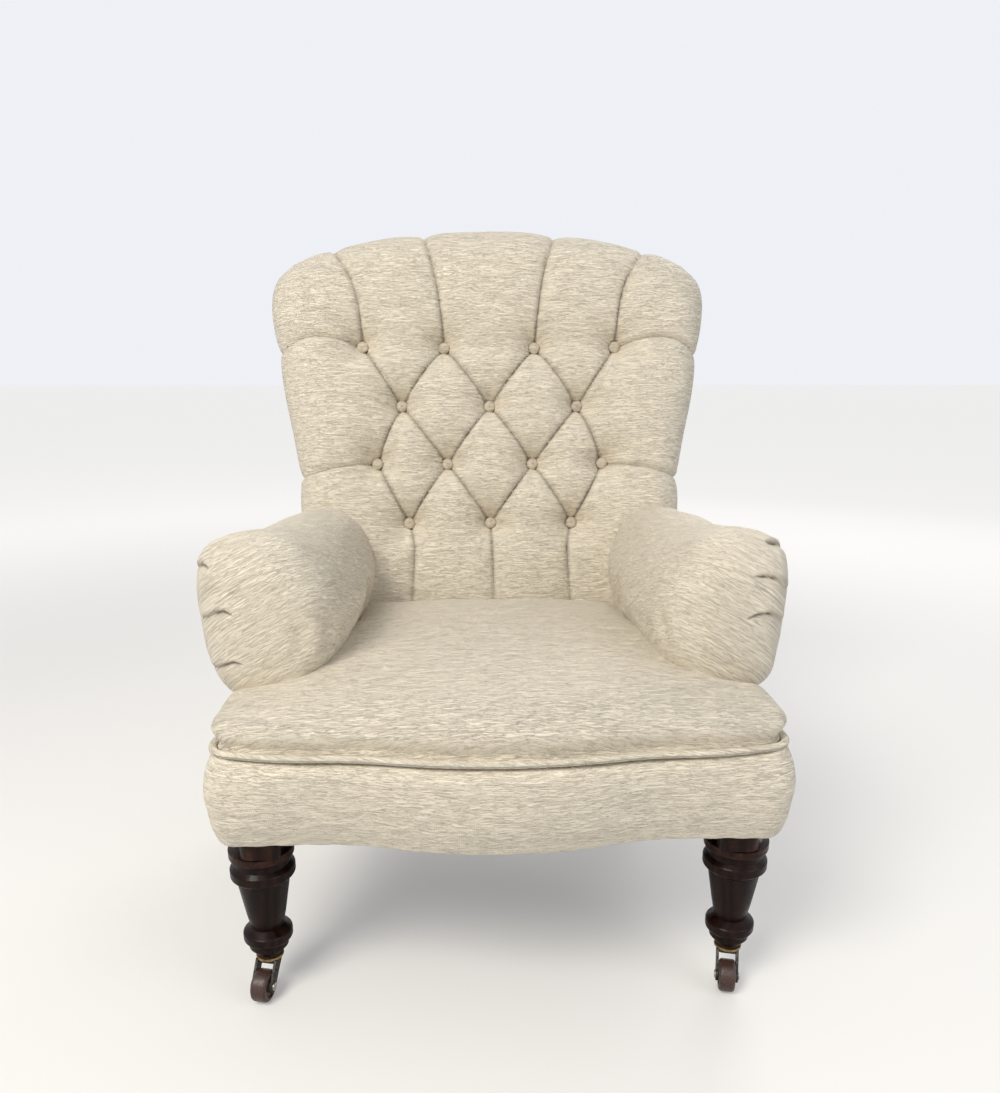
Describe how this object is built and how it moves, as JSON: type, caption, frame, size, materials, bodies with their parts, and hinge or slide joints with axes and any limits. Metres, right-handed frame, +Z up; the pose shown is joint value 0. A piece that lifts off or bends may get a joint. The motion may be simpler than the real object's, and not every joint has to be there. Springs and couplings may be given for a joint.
{
  "type": "button back armchair",
  "caption": "Low upholstered armchair with a deep-buttoned raked back, padded arms, serpentine piped seat, turned front legs and castors.",
  "frame": {"origin": "on the floor, midway between the front of the seat and the rear of the crest, on the centre plane", "axes": "+Z up, the chair faces -Y, +X is the sitter's left"},
  "size_m": [0.7344, 0.7773, 0.9611],
  "materials": {
    "show_wood": "French polished dark mahogany, glossy, a little worn on the rims",
    "frame_wood": "planed unpolished beech",
    "webbing": "coarse jute webbing",
    "canvas": "open jute canvas",
    "spring_steel": "coppered spring wire, dull",
    "twine": "waxed flax twine",
    "black_cloth": "thin matt black cloth",
    "cover_fabric": "cream chenille with a slubby crosswise rib and a soft sheen",
    "piping_fabric": "cream chenille cut on the bias over a cord",
    "button_fabric": "cream chenille drawn over button moulds",
    "castor_brass": "old brass, dulled",
    "castor_iron": "blackened iron",
    "axle_steel": "worn steel",
    "castor_wheel_wood": "hard brown-stained wheel with a low polish"
  },
  "bodies": {
    "chair": {"front_leg_left": "show_wood", "front_leg_right": "show_wood", "back_post_left": "show_wood", "back_post_right": "show_wood", "crest_rail": "frame_wood", "back_tacking_rail": "frame_wood", "front_seat_rail": "frame_wood", "side_seat_rail_left": "frame_wood", "side_seat_rail_right": "frame_wood", "back_seat_rail": "frame_wood", "corner_braces": "frame_wood", "arm_post_left": "frame_wood", "arm_post_right": "frame_wood", "arm_rail_left": "frame_wood", "arm_rail_right": "frame_wood", "seat_webbing_crosswise": "webbing", "seat_webbing_lengthwise": "webbing", "back_webbing": "webbing", "seat_canvas": "canvas", "back_canvas": "canvas", "seat_springs": "spring_steel", "button_twines": "twine", "dust_cover": "black_cloth", "seat_pad": "cover_fabric", "back_pad": "cover_fabric", "arm_pad_left": "cover_fabric", "arm_pad_right": "cover_fabric", "front_border": "cover_fabric", "outside_arm_panel_left": "cover_fabric", "outside_arm_panel_right": "cover_fabric", "outside_back_panel": "cover_fabric", "seat_piping": "piping_fabric", "back_buttons": "button_fabric", "arm_button_left": "button_fabric", "arm_button_right": "button_fabric", "castor_plate_front_left": "castor_brass", "castor_plate_front_right": "castor_brass", "castor_plate_rear_left": "castor_brass", "castor_plate_rear_right": "castor_brass"},
    "swivel_front_left": {"castor_fork_front_left": "castor_iron", "castor_axle_front_left": "axle_steel"},
    "swivel_front_right": {"castor_fork_front_right": "castor_iron", "castor_axle_front_right": "axle_steel"},
    "swivel_rear_left": {"castor_fork_rear_left": "castor_iron", "castor_axle_rear_left": "axle_steel"},
    "swivel_rear_right": {"castor_fork_rear_right": "castor_iron", "castor_axle_rear_right": "axle_steel"},
    "roller_front_left": {"castor_wheel_front_left": "castor_wheel_wood"},
    "roller_front_right": {"castor_wheel_front_right": "castor_wheel_wood"},
    "roller_rear_left": {"castor_wheel_rear_left": "castor_wheel_wood"},
    "roller_rear_right": {"castor_wheel_rear_right": "castor_wheel_wood"}
  },
  "joints": [
    {"name": "castor_swivel_front_left", "type": "hinge", "parent": "chair", "child": "swivel_front_left", "pos_m": [0.29, -0.29577, 0.045], "axis": [0, 0, 1], "continuous": true},
    {"name": "castor_swivel_front_right", "type": "hinge", "parent": "chair", "child": "swivel_front_right", "pos_m": [-0.29, -0.29577, 0.045], "axis": [0, 0, 1], "continuous": true},
    {"name": "castor_swivel_rear_left", "type": "hinge", "parent": "chair", "child": "swivel_rear_left", "pos_m": [0.262, 0.26491, 0.045], "axis": [0, 0, 1], "continuous": true},
    {"name": "castor_swivel_rear_right", "type": "hinge", "parent": "chair", "child": "swivel_rear_right", "pos_m": [-0.262, 0.26491, 0.045], "axis": [0, 0, 1], "continuous": true},
    {"name": "wheel_spin_front_left", "type": "hinge", "parent": "swivel_front_left", "child": "roller_front_left", "pos_m": [0.2846, -0.31916, 0.0195], "axis": [0.9744, -0.225, 0], "continuous": true},
    {"name": "wheel_spin_front_right", "type": "hinge", "parent": "swivel_front_right", "child": "roller_front_right", "pos_m": [-0.2954, -0.31916, 0.0195], "axis": [0.9744, -0.225, 0], "continuous": true},
    {"name": "wheel_spin_rear_left", "type": "hinge", "parent": "swivel_rear_left", "child": "roller_rear_left", "pos_m": [0.2566, 0.24153, 0.0195], "axis": [0.9744, -0.225, 0], "continuous": true},
    {"name": "wheel_spin_rear_right", "type": "hinge", "parent": "swivel_rear_right", "child": "roller_rear_right", "pos_m": [-0.2674, 0.24153, 0.0195], "axis": [0.9744, -0.225, 0], "continuous": true}
  ]
}
